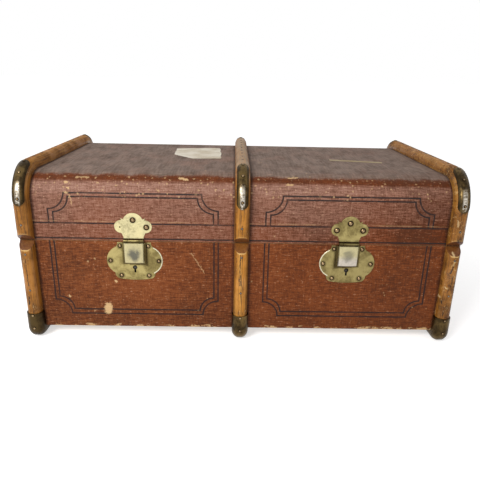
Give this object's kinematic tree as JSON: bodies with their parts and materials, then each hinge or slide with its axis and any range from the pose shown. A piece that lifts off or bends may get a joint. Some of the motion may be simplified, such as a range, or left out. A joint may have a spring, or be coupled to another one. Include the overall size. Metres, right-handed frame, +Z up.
{
  "type": "canvas-covered travelling trunk",
  "caption": "Long low trunk in painted canvas over board, with bentwood slats, metal caps, hasp locks, end handles and a hinged lid held by folding stays.",
  "frame": {"origin": "on the floor under the middle of the trunk", "axes": "+X along the length to the right as seen from the locks, +Y from the locks to the hinges, +Z up"},
  "size_m": [0.888, 0.4894, 0.3508],
  "materials": {
    "painted_canvas": "woven canvas with worn red-brown paint and dark pinstripes",
    "plywood": "bare plywood, seen only on cut edges",
    "lining_paper": "pale printed-cloth look lining, aged and a little stained",
    "bentwood": "varnished bent beech with dark worn edges",
    "lip_wood": "stained softwood strip, waxed",
    "aged_brass": "brassed steel, darkened, rubbed bright on the crown",
    "lock_brass": "pale stamped brass, brushed and lightly stained",
    "lock_steel": "plain steel, oiled and grey-brown",
    "hinge_steel": "black lacquered steel, worn at the knuckles",
    "handle_leather": "dark brown stitched leather, worn glossy"
  },
  "bodies": {
    "trunk_base": {"base_front_board": "plywood", "base_back_board": "plywood", "base_left_board": "plywood", "base_right_board": "plywood", "base_bottom_board": "plywood", "base_canvas": "painted_canvas", "base_lining": "lining_paper", "rim_lip_front": "lip_wood", "rim_lip_ends": "lip_wood", "base_front_slat_left": "bentwood", "bottom_runner_left": "bentwood", "base_back_slat_left": "bentwood", "front_foot_cap_left": "aged_brass", "base_front_slat_middle": "bentwood", "bottom_runner_middle": "bentwood", "base_back_slat_middle": "bentwood", "front_foot_cap_middle": "aged_brass", "base_front_slat_right": "bentwood", "bottom_runner_right": "bentwood", "base_back_slat_right": "bentwood", "front_foot_cap_right": "aged_brass", "back_foot_caps": "aged_brass", "lock_plate_left": "lock_brass", "lock_case_left": "lock_steel", "handle_brackets_left": "aged_brass", "lock_plate_right": "lock_brass", "lock_case_right": "lock_steel", "handle_brackets_right": "aged_brass", "hinge_base_leaves": "hinge_steel", "hinge_pins": "hinge_steel", "stay_base_plates": "hinge_steel"},
    "lid": {"lid_top_board": "plywood", "lid_front_board": "plywood", "lid_back_board": "plywood", "lid_left_board": "plywood", "lid_right_board": "plywood", "lid_canvas": "painted_canvas", "lid_lining": "lining_paper", "lid_slat_left": "bentwood", "front_corner_cap_left": "aged_brass", "lid_slat_middle": "bentwood", "front_corner_cap_middle": "aged_brass", "lid_slat_right": "bentwood", "front_corner_cap_right": "aged_brass", "back_corner_caps": "aged_brass", "hasp_plate_left": "lock_brass", "hasp_plate_right": "lock_brass", "hasp_pins": "lock_steel", "hinge_lid_leaves": "hinge_steel", "stay_lid_plates": "hinge_steel"},
    "lock_bolt_left": {"lock_bolt_left": "lock_steel"},
    "hasp_left": {"hasp_left": "lock_brass"},
    "handle_left": {"handle_left": "handle_leather"},
    "stay_lower_left": {"stay_lower_bar_left": "hinge_steel"},
    "stay_upper_left": {"stay_upper_bar_left": "hinge_steel"},
    "lock_bolt_right": {"lock_bolt_right": "lock_steel"},
    "hasp_right": {"hasp_right": "lock_brass"},
    "handle_right": {"handle_right": "handle_leather"},
    "stay_lower_right": {"stay_lower_bar_right": "hinge_steel"},
    "stay_upper_right": {"stay_upper_bar_right": "hinge_steel"}
  },
  "joints": [
    {"name": "lid_hinge", "type": "hinge", "parent": "trunk_base", "child": "lid", "pos_m": [0, 0.2276, 0.2039], "axis": [-1, 0, 0], "range_deg": [0, 100]},
    {"name": "hasp_left_hinge", "type": "hinge", "parent": "lid", "child": "hasp_left", "pos_m": [-0.2055, -0.2269, 0.2055], "axis": [-1, 0, 0], "range_deg": [0, 150]},
    {"name": "lock_bolt_left_slide", "type": "slide", "parent": "trunk_base", "child": "lock_bolt_left", "axis": [-1, 0, 0], "range_m": [0, 0.0045]},
    {"name": "handle_left_hinge", "type": "hinge", "parent": "trunk_base", "child": "handle_left", "pos_m": [-0.4335, 0, 0.15], "axis": [0, 1, 0], "range_deg": [0, 110]},
    {"name": "stay_lower_left_hinge", "type": "hinge", "parent": "trunk_base", "child": "stay_lower_left", "pos_m": [-0.4019, 0.1176, 0.1799], "axis": [-1, 0, 0], "range_deg": [0, 100]},
    {"name": "stay_upper_left_hinge", "type": "hinge", "parent": "lid", "child": "stay_upper_left", "pos_m": [-0.3996, 0.1176, 0.2279], "axis": [1, 0, 0], "range_deg": [0, 100]},
    {"name": "hasp_right_hinge", "type": "hinge", "parent": "lid", "child": "hasp_right", "pos_m": [0.2055, -0.2269, 0.2055], "axis": [-1, 0, 0], "range_deg": [0, 150]},
    {"name": "lock_bolt_right_slide", "type": "slide", "parent": "trunk_base", "child": "lock_bolt_right", "axis": [-1, 0, 0], "range_m": [0, 0.0045]},
    {"name": "handle_right_hinge", "type": "hinge", "parent": "trunk_base", "child": "handle_right", "pos_m": [0.4335, 0, 0.15], "axis": [0, -1, 0], "range_deg": [0, 110]},
    {"name": "stay_lower_right_hinge", "type": "hinge", "parent": "trunk_base", "child": "stay_lower_right", "pos_m": [0.4019, 0.1176, 0.1799], "axis": [-1, 0, 0], "range_deg": [0, 100]},
    {"name": "stay_upper_right_hinge", "type": "hinge", "parent": "lid", "child": "stay_upper_right", "pos_m": [0.3996, 0.1176, 0.2279], "axis": [1, 0, 0], "range_deg": [0, 100]}
  ],
  "couplings": [
    {"joint": "stay_lower_left_hinge", "follows": "lid_hinge", "ratio": 1},
    {"joint": "stay_upper_left_hinge", "follows": "lid_hinge", "ratio": 1},
    {"joint": "stay_lower_right_hinge", "follows": "lid_hinge", "ratio": 1},
    {"joint": "stay_upper_right_hinge", "follows": "lid_hinge", "ratio": 1}
  ]
}
